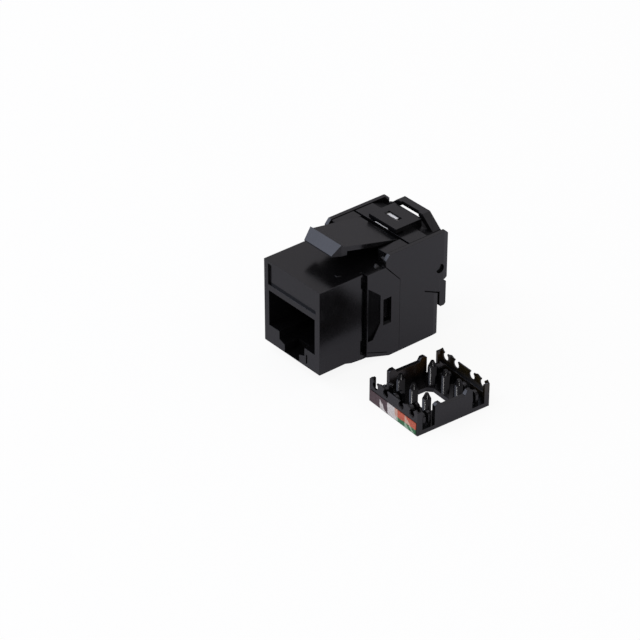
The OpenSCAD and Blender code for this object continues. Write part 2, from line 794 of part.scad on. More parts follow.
module idc_terminal(number) color(tin) seated()
    translate([terminal_x(number), 0, terminal_h(number)]) difference() {
        block(blade_w, board_rear, blade_end, -blade_t / 2, blade_t / 2);
        translate([0, 0, -blade_t]) linear_extrude(2 * blade_t) {
            translate([-blade_fork_w / 2, blade_end - blade_fork_l])
                square([blade_fork_w, blade_fork_l + over]);
            polygon([[-blade_w / 2, blade_end + sink], [0, blade_end - blade_w / 2],
                [blade_w / 2, blade_end + sink]]);
        }
    }

module cap_place() translate([cap_x, cap_d - seat_mid, 0]) rotate([0, 0, cap_turn]) children();

// One wall along the label, with a keyhole slot for each wire
module wire_wall() difference() {
    union() {
        cube([cap_w, cap_wall, thin_low]);
        cube([cap_w, cap_thin, cap_h]);
        for (side = [0, cap_w - post_t])
            translate([side, 0, 0]) cube([post_t, cap_post_w, cap_h]);
        // Gabled tops of the corner posts, and the teeth between the slots
        translate([0, cap_thin, 0]) rotate([90, 0, 0]) linear_extrude(cap_thin) {
            for (side = [0, cap_w - cap_post_w])
                polygon([[side, cap_h - sink], [side + cap_post_w, cap_h - sink],
                    [side + cap_post_w / 2, cap_post_h]]);
            for (mid = [cap_mid_w - tooth_mid, cap_mid_w + tooth_mid])
                polygon([[mid - tooth_w / 2, cap_h - sink], [mid + tooth_w / 2, cap_h - sink],
                    [mid, cap_h + tooth_h]]);
        }
    }
    for (place = wire_places)
        translate([cap_mid_w + place, cap_thin + over, 0]) rotate([90, 0, 0])
            linear_extrude(cap_thin + 2 * over) {
                translate([0, key_h]) circle(key_r);
                polygon([[-mouth_w / 2, key_h], [mouth_w / 2, key_h],
                    [mouth_w / 2, cap_h - flare_h], [flare_w / 2, cap_h + over],
                    [-flare_w / 2, cap_h + over], [-mouth_w / 2, cap_h - flare_h]]);
            }
}

module cap_peg() {
    translate([0, 0, cap_base - sink]) cylinder(r = peg_r, h = peg_h - peg_cone - cap_base + 2 * sink);
    translate([0, 0, peg_h - peg_cone]) cylinder(r1 = peg_r, r2 = peg_tip_r, h = peg_cone);
}

// Wall across the labels, with a hump at each end
module side_wall_outline() {
    length = cap_l - 2 * side_start;
    polygon([[0, 0], [length, 0], [length, cap_side_h + hump_rise - hump_end_drop],
        [length - hump_slope_l, cap_side_h + hump_rise],
        [length - hump_l + hump_slope_l, cap_side_h + hump_rise], [length - hump_l, cap_side_h],
        [hump_l, cap_side_h], [hump_l - hump_slope_l, cap_side_h + hump_rise],
        [hump_slope_l, cap_side_h + hump_rise], [0, cap_side_h + hump_rise - hump_end_drop]]);
}

// Rest under one wire, slit for the terminal's blade
module wire_rest() difference() {
    translate([0, rest_l / 2, 0]) rotate([90, 0, 0]) linear_extrude(rest_l) {
        translate([-rest_r, cap_base - sink]) square([2 * rest_r, rest_h - cap_base + sink]);
        translate([0, rest_h]) circle(rest_r);
    }
    translate([-blade_w / 2 - blade_gap, -rest_slit / 2, cap_base])
        cube([blade_w + 2 * blade_gap, rest_slit, rest_h + rest_r]);
}

module cap_base_plate() difference() {
    cube([cap_w, cap_l, cap_base]);
    translate([cap_mid_w, cap_mid_l, -over]) linear_extrude(cap_base + 2 * over) polygon([
        [-hole_w / 2, hole_corner - hole_l / 2], [hole_corner - hole_w / 2, -hole_l / 2],
        [hole_w / 2 - hole_corner, -hole_l / 2], [hole_w / 2, hole_corner - hole_l / 2],
        [hole_w / 2, hole_l / 2 - hole_corner], [hole_w / 2 - hole_corner, hole_l / 2],
        [hole_corner - hole_w / 2, hole_l / 2], [-hole_w / 2, hole_l / 2 - hole_corner]]);
}

module lacing_cap() color(plastic) cap_place() {
    cap_base_plate();
    wire_wall();
    translate([cap_w, cap_l, 0]) rotate(180) wire_wall();
    for (side = [0, cap_w - cap_wall])
        translate([side, side_start, 0]) rotate([90, 0, 90]) linear_extrude(cap_wall)
            side_wall_outline();
    for (row = [-1, 1]) {
        for (place = wire_places)
            translate([cap_mid_w + place, cap_mid_l + row * row_gap / 2, 0]) wire_rest();
        for (place = [-tooth_mid, 0, tooth_mid])
            translate([cap_mid_w + place, cap_mid_l + row * (cap_mid_l - peg_back), 0]) cap_peg();
    }
}

// Paper label along the foot of one end
module cap_label(end) cap_place()
    translate([label_margin, end, label_low]) cube([cap_w - 2 * label_margin, label_t, label_h]);
module label_near() color(label_white) cap_label(-label_t);
module label_far() color(label_white) cap_label(cap_l);

front_housing();
panel_latch();
rear_housing();
rear_cover();
contact_carrier();
for (i = [1 : contact_count]) {
    port_contact(i);
    idc_terminal(i);
}
circuit_board();
idc_block();
lacing_cap();
label_near();
label_far();
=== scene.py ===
"""Looks of a keystone jack and its lacing cap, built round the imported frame."""

import math

import bmesh
import bpy
from mathutils import Matrix, Vector


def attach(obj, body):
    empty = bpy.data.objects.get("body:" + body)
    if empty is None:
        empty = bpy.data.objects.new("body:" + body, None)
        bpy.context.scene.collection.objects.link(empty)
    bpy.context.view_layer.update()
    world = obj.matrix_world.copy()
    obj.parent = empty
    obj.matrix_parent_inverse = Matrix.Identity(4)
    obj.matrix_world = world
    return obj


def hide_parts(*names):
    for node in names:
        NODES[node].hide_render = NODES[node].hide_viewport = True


bl_info = {
    "name": "Keystone Jack Looks",
    "version": (1, 0, 0),
    "blender": (4, 5, 0),
    "location": "View3D > Sidebar > Jack",
    "description": "Rounded mouldings, materials and studio for a keystone jack with its lacing cap",
    "category": "Object",
}

MM = 0.001
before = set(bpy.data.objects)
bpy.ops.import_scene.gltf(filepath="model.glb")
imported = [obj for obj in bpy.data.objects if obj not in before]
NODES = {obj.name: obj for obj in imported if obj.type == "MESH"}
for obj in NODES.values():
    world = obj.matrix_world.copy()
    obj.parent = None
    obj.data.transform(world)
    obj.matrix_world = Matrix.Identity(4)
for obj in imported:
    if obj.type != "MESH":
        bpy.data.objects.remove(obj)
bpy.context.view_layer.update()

# Where the lacing cap's near left corner lies, and its turn
CAP_PLACE = Vector((16.0 * MM, -16.65 * MM, 0.0))
CAP_TURN = math.radians(-3.3)

# Places on the front housing, as low and high in millimetres; across is measured from the middle
STOP_EDGE = ((6.85, 7.2), (-8.4, -6.6), (17.85, 30.0))
PORT = ((-1.0, 6.4), (-19.7, -8.0), (-1.0, 11.8))
POCKET = ((6.5, 7.85), (-10.5, -5.0), (-1.0, 14.0))

# Places on the lacing cap, from its corner, as low and high in millimetres
PEGS = ((1.6, 11.2), (2.6, 12.4), (1.1, 10.0))
# Box of the cap's floor that gets a lighter grey as painted light
CAP_FLOOR = ((6.0, 11.8), (1.5, 13.3), (0.5, 10.0))

# Heights and depths on the cover where the tongue, its slope and the deck end, in millimetres
TONGUE_FOOT, SLOPE_TOP, DECK_TOP = 19.0, 19.75, 19.2
SLOPE_START, DECK_START = 3.0, 4.6

# Pale insert under the cover's tongue, painted light that shows through the slit and the window, as low and
# high in millimetres: slit in front, bar in the window
PAINTED_LIGHT_INSERT_BLOCKS = (
    ((-1.9, 1.3), (-0.38, 1.15), (19.72, 19.88)),
    ((-1.93, 0.45), (2.25, 2.79), (19.85, 20.33)),
)

# Points that are closer than this along a direction count as level with each other
SAME_PLACE = 0.02 * MM

# The seam behind the side plates: least distance from the middle, what it closes by, and its depth
PLATE_SIDE = 7.3 * MM
SEAM_CLOSE = 0.05 * MM
SEAM_REACH = 0.15 * MM

# How far the stops beside the latch slope down
STOP_DROP = 0.25 * MM

# The latch: depths of the nose's bands below its top, and how far their points and its rear end move
LIP_BAND, NOSE_BAND, LIP_BACK_BAND = 0.05 * MM, 0.25 * MM, 0.3 * MM
LIP_RISE = 0.25 * MM
NOSE_BACK = 0.3 * MM
NOSE_SINK = 0.06 * MM
LATCH_SHORTEN = 0.15 * MM

# How meshes are joined: distance of points, and turn of faces that count as one
WELD = 0.0005 * MM
ONE_FACE_TURN = math.radians(0.5)

# How edges are chosen and rounded: turns of their faces, size of a large face, shortest edges
EVEN_TURN = 0.01
CREASE_TURN = math.radians(1.0)
SHARP_TURN = math.radians(35.0)
FLAT_FACE = 0.6 * MM * MM
LONG_EDGE, SHORT_EDGE, INSERT_EDGE = 0.35 * MM, 0.3 * MM, 0.1 * MM
BEVEL_STEPS = 2

# Least part of a normal along a direction, from a face that leans a little to one that is level
LEANING, TURNED, FACING, STEEP, LEVEL = 0.15, 0.3, 0.5, 0.7, 0.9

# Roughness and specular level of the plastic, with specular lowered as painted shade: in recesses, behind
# the lip and under the tongue, on the cap's pegs and on the pieces inside
DULL_PAINTED_SHADE = (0.35, 0.12)
PEG_PAINTED_SHADE = (0.16, 0.3)
INNER_PAINTED_SHADE = (0.45, 0.25)

# Dust and bump of the moulded plastic
DUST_SHARE = 0.012
LINT_PALER = 0.35
BUMP_DEPTH = 0.02 * MM

# Noise scales of the materials, in waves to the metre
FLOW, CLOUD, WOBBLE = 180.0, 350.0, 900.0
WEAR, WEAVE, SPECKS = 1500.0, 2500.0, 2600.0
PAPER_GRAIN, GRAIN = 4200.0, 9000.0

# Colours: dark and light of the cap's painted warm light and of the solder mask, and the inks of the strip
PAINTED_OLIVE_LIGHT = ((0.008, 0.006, 0.003), (0.024, 0.018, 0.008))
PAINTED_GOLDEN_LIGHT = ((0.01, 0.005, 0.003), (0.038, 0.021, 0.007))
SOLDER_MASK = ((0.012, 0.09, 0.035, 1.0), (0.016, 0.11, 0.045, 1.0))
BROWN, ORANGE, GREEN = (0.075, 0.045, 0.05), (0.47, 0.095, 0.05), (0.03, 0.14, 0.055)
PEACH, MINT = (0.55, 0.33, 0.26), (0.26, 0.4, 0.28)

# The strip in millimetres: reach of its fields, starts of the white and the last one, top of the green
FIELDS_REACH = 13.0
WHITE_FIELD, WHITE_START, LAST_FIELD = 2.9, 5.08, 9.55
GREEN_TOP = 1.05

# The strip's slanted bars in millimetres: lean, starts, and the middle and half width of one
BAR_LEAN = 0.96
BROWN_BAR, ORANGE_BAR, GREEN_END = 4.9, 12.15, 12.1
GREEN_BAR = (11.27, 0.37)

# Light of the white room and the floor: tints, and what gloss sees from the horizon up or near to far
WHITE = (1.0, 1.0, 1.0)
WARM_LIGHT = (1.0, 0.97, 0.94)
SKY_GLOSS_TINT = (1.0, 0.965, 1.04)
SKY_GLOSS = (0.16, 0.68)
FLOOR_GLOSS_TINT = (1.0, 0.965, 1.16)
FLOOR_GLOSS = (0.3, 0.52)
FLOOR_DEPTHS = (-0.03, 0.05)
FLOOR_WAY = (0.77, 0.64)

# Share of the floor's own light that the camera and gloss see
FLOOR_SHARES = (0.9, 0.7)

# Camera and lamps
CAMERA_PLACE = Vector((0.28525, -0.24906, 0.24431))
SENSOR = 36.0
CLIP_START = 0.01
LAMP_AIM = Vector((0.0, -0.01, 0.02))
KEY_WAY = (-0.649, -0.46, 0.63)
KEY_SIDE = 0.9
KEY_COLOUR = (0.72, 0.79, 1.0)
GLINT_WAYS = {"glint_lamp_low": (0.908, -0.38, 0.189), "glint_lamp_high": (0.0, -0.65, 0.76)}
GLINT_SIDE = 0.1
FLOOR_SIDE = 6.0


# Settings


def length(name, description, value):
    """A length property in metres."""
    return bpy.props.FloatProperty(
        name=name, description=description, default=value, min=0.0, unit="LENGTH", precision=5
    )


def angle(name, description, degrees):
    """An angle property, given in degrees."""
    return bpy.props.FloatProperty(
        name=name, description=description, default=math.radians(degrees), subtype="ANGLE"
    )


def colour(name, description, value):
    """A linear colour property."""
    return bpy.props.FloatVectorProperty(
        name=name, description=description, default=value, size=3, min=0.0, max=1.0, subtype="COLOR"
    )


def factor(name, description, value, top=1.0):
    """A plain number property."""
    return bpy.props.FloatProperty(
        name=name, description=description, default=value, min=0.0, max=top
    )


class JackShape(bpy.types.PropertyGroup):
    """Sizes of the moulded edges."""

    edge: length("Edge radius", "Rounding of the housing's outer edges", 0.08 * MM)
    fine_edge: length("Fine edge radius", "Rounding of the small mouldings' edges", 0.05 * MM)


class JackColours(bpy.types.PropertyGroup):
    """Colours and finish of the pieces."""

    plastic: colour("Black plastic", "Housing, latch, cover and cap", (0.0023, 0.0022, 0.0026))
    inner: colour("Inner plastic", "Contact carrier and terminal block", (0.006, 0.006, 0.0062))
    # Pale insert: painted light showing through the tongue's slit and window
    pale_painted_light: colour("Pale plastic", "Insert under the cover's tongue", (0.75, 0.75, 0.76))
    # Lighter grey of the cap's level floor: painted light
    cap_floor_painted_light: colour("Cap floor", "Floor of the cap beside its cable hole", (0.014, 0.0133, 0.0145))
    # Gold darkened as painted shade inside the port
    gold: colour("Gold", "Plating of the port's contacts", (0.5, 0.33, 0.1))
    tin: colour("Tin", "Plating of the terminals", (0.62, 0.62, 0.63))
    roughness: factor("Roughness", "Roughness of the black plastic", 0.2)
    gloss: factor("Specular level", "Strength of the plastic's reflection", 0.5)
    paper: colour("Label paper", "Ground of the colour strip", (0.56, 0.53, 0.52))


class JackStage(bpy.types.PropertyGroup):
    """Camera and light."""

    azimuth: angle("Azimuth", "Turn of the camera about the jack", 50.5)
    elevation: angle("Elevation", "Height angle of the camera", 32.74)
    lens: factor("Lens", "Focal length in millimetres on a 36 mm sensor", 147.8, 1000.0)
    key: factor("Key strength", "Radiance of the large soft lamp against white", 2.1, 100.0)
    glint: factor("Glint strength", "Radiance of the small lamps against white", 30.0, 1000.0)
    sky: factor("Sky strength", "Light that the white room gives", 0.7, 10.0)


# Materials


class Tree:
    """Short words for building a node tree."""

    def __init__(self, tree):
        self.tree = tree

    def add(self, kind, **values):
        """A new node with some of its settings."""
        node = self.tree.nodes.new(kind)
        for key, value in values.items():
            setattr(node, key, value)
        return node

    def link(self, out, into):
        """Links an output to an input."""
        self.tree.links.new(out, into)

    def put(self, socket, value):
        """Sets a socket to a number or colour, or links another socket to it."""
        if isinstance(value, bpy.types.NodeSocket):
            self.link(value, socket)
        else:
            socket.default_value = value

    def place(self):
        """Object coordinates."""
        return self.add("ShaderNodeTexCoord").outputs["Object"]

    def split(self, vector):
        """The three numbers of a vector."""
        node = self.add("ShaderNodeSeparateXYZ")
        self.link(vector, node.inputs[0])
        return tuple(node.outputs)

    def math(self, operation, *values):
        """A sum, product, comparison or the like."""
        node = self.add("ShaderNodeMath", operation=operation)
        for socket, value in zip(node.inputs, values):
            self.put(socket, value)
        return node.outputs[0]

    def noise(self, vector, scale, detail=2.0):
        """Noise between about 0.3 and 0.7."""
        node = self.add("ShaderNodeTexNoise")
        self.put(node.inputs["Vector"], vector)
        self.put(node.inputs["Scale"], scale)
        self.put(node.inputs["Detail"], detail)
        return node.outputs["Fac"]

    def remap(self, value, low, high, first=0.0, last=1.0):
        """A number that goes from first to last while a value goes from low to high."""
        node = self.add("ShaderNodeMapRange")
        self.put(node.inputs["Value"], value)
        self.put(node.inputs["From Min"], low)
        self.put(node.inputs["From Max"], high)
        self.put(node.inputs["To Min"], first)
        self.put(node.inputs["To Max"], last)
        return node.outputs["Result"]

    def spread(self, noise, first, last):
        """Noise spread from first to last."""
        return self.remap(noise, 0.3, 0.7, first, last)

    def fade(self, share, a, b):
        """A number that goes from a to b with a share."""
        node = self.add("ShaderNodeMix", data_type="FLOAT")
        self.put(node.inputs[0], share)
        self.put(node.inputs[2], a)
        self.put(node.inputs[3], b)
        return node.outputs[0]

    def mix(self, mask, a, b):
        """A colour that goes from a to b with a mask; each is a socket or three numbers."""
        node = self.add("ShaderNodeMix", data_type="RGBA")
        self.put(node.inputs[0], mask)
        for index, shade in ((6, a), (7, b)):
            self.put(node.inputs[index], (*shade, 1.0) if isinstance(shade, tuple) else shade)
        return node.outputs[2]


def blank_material(name):
    """A new node material, its tree in short words and its shader."""
    material = bpy.data.materials.new(name)
    material.use_nodes = True
    return material, Tree(material.node_tree), material.node_tree.nodes["Principled BSDF"]


def moulded_group():
    """Node group of moulded plastic: fine grain, flow marks and dust, as roughness, height and mask."""
    name = "moulded_surface"
    if name in bpy.data.node_groups:
        return bpy.data.node_groups[name]
    group = bpy.data.node_groups.new(name, "ShaderNodeTree")
    face = group.interface
    face.new_socket("Roughness", in_out="INPUT", socket_type="NodeSocketFloat")
    face.new_socket("Spread", in_out="INPUT", socket_type="NodeSocketFloat")
    for output in ("Roughness", "Height", "Dust"):
        face.new_socket(output, in_out="OUTPUT", socket_type="NodeSocketFloat")
    t = Tree(group)
    into, out = t.add("NodeGroupInput"), t.add("NodeGroupOutput")
    place = t.place()
    flow = t.noise(place, FLOW, 3.0)
    grain = t.noise(place, GRAIN, 1.0)
    swing = t.math("MULTIPLY", t.spread(flow, -1.0, 1.0), into.outputs["Spread"])
    t.link(t.math("ADD", into.outputs["Roughness"], swing), out.inputs["Roughness"])
    t.link(t.math("ADD", grain, t.math("MULTIPLY", flow, 2.0)), out.inputs["Height"])
    # Only the strongest specks are left, and flow marks gather them
    specks = t.spread(t.noise(place, SPECKS), -2.2, 1.0)
    dust = t.math("MULTIPLY", specks, t.spread(flow, 0.2, 1.0))
    t.link(t.math("MAXIMUM", dust, 0.0), out.inputs["Dust"])
    return group


def plastic(name, base, roughness, gloss, spread=0.04, bump=0.03):
    """Moulded plastic with the shared surface and a little dust."""
    material, t, shader = blank_material(name)
    group = t.add("ShaderNodeGroup", node_tree=moulded_group())
    t.put(group.inputs["Roughness"], roughness)
    t.put(group.inputs["Spread"], spread)
    t.link(group.outputs["Roughness"], shader.inputs["Roughness"])
    bumps = t.add("ShaderNodeBump")
    t.put(bumps.inputs["Strength"], bump)
    t.put(bumps.inputs["Distance"], BUMP_DEPTH)
    t.link(group.outputs["Height"], bumps.inputs["Height"])
    t.link(bumps.outputs["Normal"], shader.inputs["Normal"])
    lint = tuple(min(1.0, c + LINT_PALER) for c in base)
    mask = t.math("MULTIPLY", group.outputs["Dust"], DUST_SHARE)
    t.link(t.mix(mask, tuple(base), lint), shader.inputs["Base Color"])
    t.put(shader.inputs["Specular IOR Level"], gloss)
    return material


def black_plastic(name, looks, **surface):
    """The black plastic of the housings, the latch, the cover and the cap."""
    return plastic(name, looks.plastic, looks.roughness, looks.gloss, **surface)


def plated(name, base, roughness=0.3):
    """Bright plating, a little worn."""
    material, t, shader = blank_material(name)
    t.put(shader.inputs["Metallic"], 1.0)
    wear = t.noise(t.place(), WEAR, 3.0)
    darker = tuple(c * 0.75 for c in base)
    t.link(t.mix(t.spread(wear, 0.0, 1.0), tuple(base), darker), shader.inputs["Base Color"])
    t.link(t.spread(wear, roughness - 0.05, roughness + 0.1), shader.inputs["Roughness"])
    return material


def board_material():
    """Green solder mask with a faint weave."""
    material, t, shader = blank_material("solder_mask")
    weave = t.add("ShaderNodeTexChecker")
    t.put(weave.inputs["Vector"], t.place())
    t.put(weave.inputs["Scale"], WEAVE)
    for name, shade in zip(("Color1", "Color2"), SOLDER_MASK):
        t.put(weave.inputs[name], shade)
    t.link(weave.outputs["Color"], shader.inputs["Base Color"])
    t.put(shader.inputs["Roughness"], 0.35)
    return material


def cap_coordinates(t, place):
    """Object coordinates turned and moved to the cap: along its near wall, inwards and up."""
    local = t.add("ShaderNodeMapping", vector_type="TEXTURE")
    t.put(local.inputs["Location"], CAP_PLACE)
    t.put(local.inputs["Rotation"], (0.0, 0.0, CAP_TURN))
    t.link(place, local.inputs[0])
    return t.split(local.outputs[0])


def cap_material(looks):
    """The cap's black plastic, with painted warm light in olive and golden brown on the upright faces of
    its far and left walls.
    """
    material = black_plastic("cap_plastic", looks)
    t = Tree(material.node_tree)
    base = material.node_tree.nodes["Principled BSDF"].inputs["Base Color"]
    place = t.place()
    along, inwards, up = cap_coordinates(t, place)
    cloud = t.spread(t.noise(place, CLOUD), 0.0, 1.0)
    olive_light, golden_light = t.mix(cloud, *PAINTED_OLIVE_LIGHT), t.mix(cloud, *PAINTED_GOLDEN_LIGHT)
    # Painted warm light: the tints start above the base, and only upright faces have them
    facing = t.split(t.add("ShaderNodeNewGeometry").outputs["Normal"])
    upright = t.remap(facing[2], 0.6, 0.2)
    high = t.math("MULTIPLY", t.remap(up, 1.2 * MM, 4.0 * MM), upright)
    far = t.remap(inwards, 13.2 * MM, 14.2 * MM)
    left = t.remap(along, 1.6 * MM, 0.5 * MM)
    left = t.math("MULTIPLY", left, t.remap(inwards, 2.0 * MM, 7.0 * MM))
    shade = t.mix(t.math("MULTIPLY", far, high), base.links[0].from_socket, olive_light)
    shade = t.mix(t.math("MULTIPLY", left, high), shade, golden_light)
    t.link(shade, base)
    return material


def fields(t, along, steps):
    """Colours along the strip, each from its start in millimetres on."""
    node = t.add("ShaderNodeValToRGB")
    node.color_ramp.interpolation = "CONSTANT"
    points = node.color_ramp.elements
    while len(points) < len(steps):
        points.new(0.5)
    for point, (start, shade) in zip(points, steps):
        point.position = start / FIELDS_REACH
        point.color = (*shade, 1.0)
    t.link(t.math("MULTIPLY", along, 1.0 / (FIELDS_REACH * MM)), node.inputs[0])
    return node.outputs[0]


def strip_material(ground):
    """Printed strip with fields of colour: brown, white, orange over green, and slanted bars."""
    material, t, shader = blank_material("colour_strip")
    place = t.place()
    along, _, up = cap_coordinates(t, place)
    # The printed edges waver a little
    wobble = t.math("MULTIPLY", t.spread(t.noise(place, WOBBLE), -1.0, 1.0), 0.12 * MM)
    along, up = t.math("ADD", along, wobble), t.math("ADD", up, wobble)
    slant = t.math("MULTIPLY_ADD", up, BAR_LEAN, along)
    white = tuple(ground)
    start = ((0.0, BROWN), (WHITE_FIELD, white))
    top = fields(t, along, (*start, (7.0, PEACH), (7.7, ORANGE), (LAST_FIELD, PEACH)))
    low = fields(t, along, (*start, (7.45, MINT), (7.8, GREEN), (LAST_FIELD, MINT)))
    upper = t.math("GREATER_THAN", up, GREEN_TOP * MM)
    # Brown bar with a slanted edge, up to where the white goes on
    before_white = t.math("LESS_THAN", along, WHITE_START * MM)
    brown_bar = t.math("MULTIPLY", t.math("GREATER_THAN", slant, BROWN_BAR * MM), before_white)
    shade = t.mix(brown_bar, t.mix(upper, low, top), BROWN)
    # Slanted bars of the last field, orange above and green below
    orange_bar = t.math("GREATER_THAN", slant, ORANGE_BAR * MM)
    green_end = t.math("GREATER_THAN", slant, GREEN_END * MM)
    middle, half = GREEN_BAR
    green_bar = t.math("MAXIMUM", t.math("COMPARE", slant, middle * MM, half * MM), green_end)
    bars = t.mix(upper, t.mix(green_bar, MINT, GREEN), t.mix(orange_bar, PEACH, ORANGE))
    shade = t.mix(t.math("GREATER_THAN", along, LAST_FIELD * MM), shade, bars)
    worn = t.add("ShaderNodeVectorMath", operation="SCALE")
    t.link(shade, worn.inputs[0])
    t.link(t.spread(t.noise(place, PAPER_GRAIN, 3.0), 0.72, 1.12), worn.inputs["Scale"])
    t.link(worn.outputs[0], shader.inputs["Base Color"])
    t.link(t.spread(t.noise(place, WEAR), 0.35, 0.6), shader.inputs["Roughness"])
    t.put(shader.inputs["Specular IOR Level"], 0.4)
    return material


# Modelling


def only(obj):
    """Selects one object and nothing else."""
    bpy.ops.object.select_all(action="DESELECT")
    obj.select_set(True)
    bpy.context.view_layer.objects.active = obj


def inside(place, box):
    """Whether a place lies between the low and high of each direction."""
    return all(low < value < high for value, (low, high) in zip(place, box))


def merged_copy(node, name):
    """A copy of a CAD node's mesh with its loose triangles joined and flat faces made whole."""
    piece = bpy.data.objects.new(name, NODES[node].data.copy())
    bpy.context.scene.collection.objects.link(piece)
    piece.data.materials.clear()
    only(piece)
    bpy.ops.object.mode_set(mode="EDIT")
    bpy.ops.mesh.select_all(action="SELECT")
    bpy.ops.mesh.remove_doubles(threshold=WELD)
    bpy.ops.mesh.dissolve_limited(angle_limit=ONE_FACE_TURN, use_dissolve_boundaries=False)
    bpy.ops.mesh.select_all(action="SELECT")
    bpy.ops.mesh.vert_connect_concave()
    bpy.ops.object.mode_set(mode="OBJECT")
    return piece


def blocks(name, places):
    """One piece of thin blocks, each between the low and high of its place in millimetres."""
    parts = []
    for place in places:
        middle = Vector([(low + high) / 2 for low, high in place]) * MM
        sides = [high - low for low, high in place]
        bpy.ops.object.select_all(action="DESELECT")
        bpy.ops.mesh.primitive_cube_add(size=MM, calc_uvs=False, location=middle, scale=sides)
        bpy.ops.object.transform_apply(location=True, rotation=False, scale=True)
        parts.append(bpy.context.object)
    for part in parts:
        part.select_set(True)
    bpy.ops.object.join()
    piece = bpy.context.object
    piece.name = piece.data.name = name
    return piece


def mark_edges(mesh, shortest, keep, crisp):
    """Weighs the convex edges that are to be rounded, and makes those between large faces crisp."""
    bm = bmesh.new()
    bm.from_mesh(mesh)
    weight = bm.edges.layers.float.new("bevel_weight_edge")
    for edge in bm.edges:
        if len(edge.link_faces) != 2:
            continue
        turn = edge.calc_face_angle()
        smallest = min(face.calc_area() for face in edge.link_faces)
        if crisp and turn > CREASE_TURN and smallest > FLAT_FACE:
            edge.smooth = False
        long_enough = turn >= SHARP_TURN and edge.calc_length() >= shortest
        if edge.is_convex and long_enough and (keep is None or keep(edge)):
            edge[weight] = 1.0
    bm.to_mesh(mesh)
    bm.free()


def round_edges(piece, radius, shortest, keep=None, crisp=True):
    """Rounds a piece's sharp convex edges that are long enough and that a test keeps."""
    only(piece)
    bpy.ops.object.shade_smooth_by_angle(angle=SHARP_TURN)
    mark_edges(piece.data, shortest, keep, crisp)
    bevel = piece.modifiers.new("rounding", "BEVEL")
    bevel.width = radius
    bevel.segments = BEVEL_STEPS
    bevel.limit_method = "WEIGHT"
    bevel.use_clamp_overlap = False
    bevel.miter_outer = "MITER_SHARP"
    # Two passing slots, so that the rounded strips in the second are told from the faces
    piece.data.materials.append(None)
    piece.data.materials.append(None)
    bevel.material = 1
    bpy.ops.object.modifier_apply(modifier="rounding")
    shade_flats(piece.data)
    piece.data.materials.clear()


def shade_flats(mesh):
    """Gives flat faces their own normal, and the rounded strips that of the flat face beside them."""
    bm = bmesh.new()
    bm.from_mesh(mesh)
    flat = {face.index for face in bm.faces if face.material_index == 0 and is_flat(face)}
    chosen = {}
    for face in bm.faces:
        for loop in face.loops:
            if face.index in flat:
                chosen[loop.index] = face.normal.copy()
            elif face.material_index == 1:
                beside = [other.normal for other in loop.vert.link_faces if other.index in flat]
                near = [normal for normal in beside if normal.dot(face.normal) > FACING]
                chosen[loop.index] = max(near, key=face.normal.dot, default=face.normal).copy()
    bm.free()
    normals = [tuple(chosen.get(i, corner.vector)) for i, corner in enumerate(mesh.corner_normals)]
    mesh.normals_split_custom_set(normals)
    for face in mesh.polygons:
        face.material_index = 0


def is_flat(face):
    """Whether a face is large or goes on evenly into a neighbour."""
    if face.calc_area() > FLAT_FACE:
        return True
    shared = [edge for edge in face.edges if len(edge.link_faces) == 2]
    even = [edge for edge in shared if edge.calc_face_angle() < EVEN_TURN]
    return any(other.material_index == 0 for edge in even for other in edge.link_faces if other is not face)


def dress(piece, material, body, slot, *nodes):
    """Gives a piece its material and body, and lets it stand for CAD nodes; its slot is not used."""
    piece.data.materials.append(material)
    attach(piece, body)
    if nodes:
        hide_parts(*nodes)


def refinish(piece, material, wanted):
    """Gives another material to the faces that a test picks."""
    piece.data.materials.append(material)
    last = len(piece.data.materials) - 1
    for face in piece.data.polygons:
        if wanted(face):
            face.material_index = last


def paint(node, material):
    """Gives its material to a CAD node that stays."""
    data = NODES[node].data
    data.materials.clear()
    data.materials.append(material)


# Pieces


def plate_end():
    """The rear edge of the front housing's side plates."""
    places = [v.co for v in NODES["front_housing"].data.vertices]
    return max(place.y for place in places if abs(place.x) > PLATE_SIDE)


def at_seam(edge, seam):
    """Whether an edge lies where the side plates meet the rear housing's walls."""
    behind = [v.co.y - seam for v in edge.verts if abs(v.co.x) > PLATE_SIDE]
    return len(behind) == 2 and all(-SAME_PLACE < y < SEAM_REACH for y in behind)


def shape_front(mesh, seam):
    """Closes the seam behind the side plates and slopes the stops beside the latch."""
    for v in mesh.vertices:
        if abs(v.co.x) > PLATE_SIDE and v.co.y > seam - SAME_PLACE:
            v.co.y += SEAM_CLOSE
        if inside((abs(v.co.x) / MM, v.co.y / MM, v.co.z / MM), STOP_EDGE):
            v.co.z -= STOP_DROP


def in_recess(face):
    """Whether a face lies in the port or in the right pocket."""
    x, y, z = face.center / MM
    place = (abs(x), y, z)
    return inside(place, PORT) or face.normal.x > FACING and inside(place, POCKET)


class JACK_OT_housings(bpy.types.Operator):
    """Round the front and rear housings"""

    bl_idname = "jack.housings"
    bl_label = "Housings"

    def execute(self, context):
        shape, looks = context.scene.jack_shape, context.scene.jack_colours
        black = black_plastic("housing_plastic", looks)
        seam = plate_end()
        for node in ("front_housing", "rear_housing"):
            piece = merged_copy(node, node + "_moulding")
            if node == "front_housing":
                shape_front(piece.data, seam)
            round_edges(piece, shape.edge, LONG_EDGE, keep=lambda edge: not at_seam(edge, seam))
            dress(piece, black, "jack", "housing", node)
            if node == "front_housing":
                # The port and the right pocket get a dulled copy of the plastic: painted shade
                refinish(piece, plastic("recess_painted_shade", looks.plastic, *DULL_PAINTED_SHADE), in_recess)
        return {"FINISHED"}


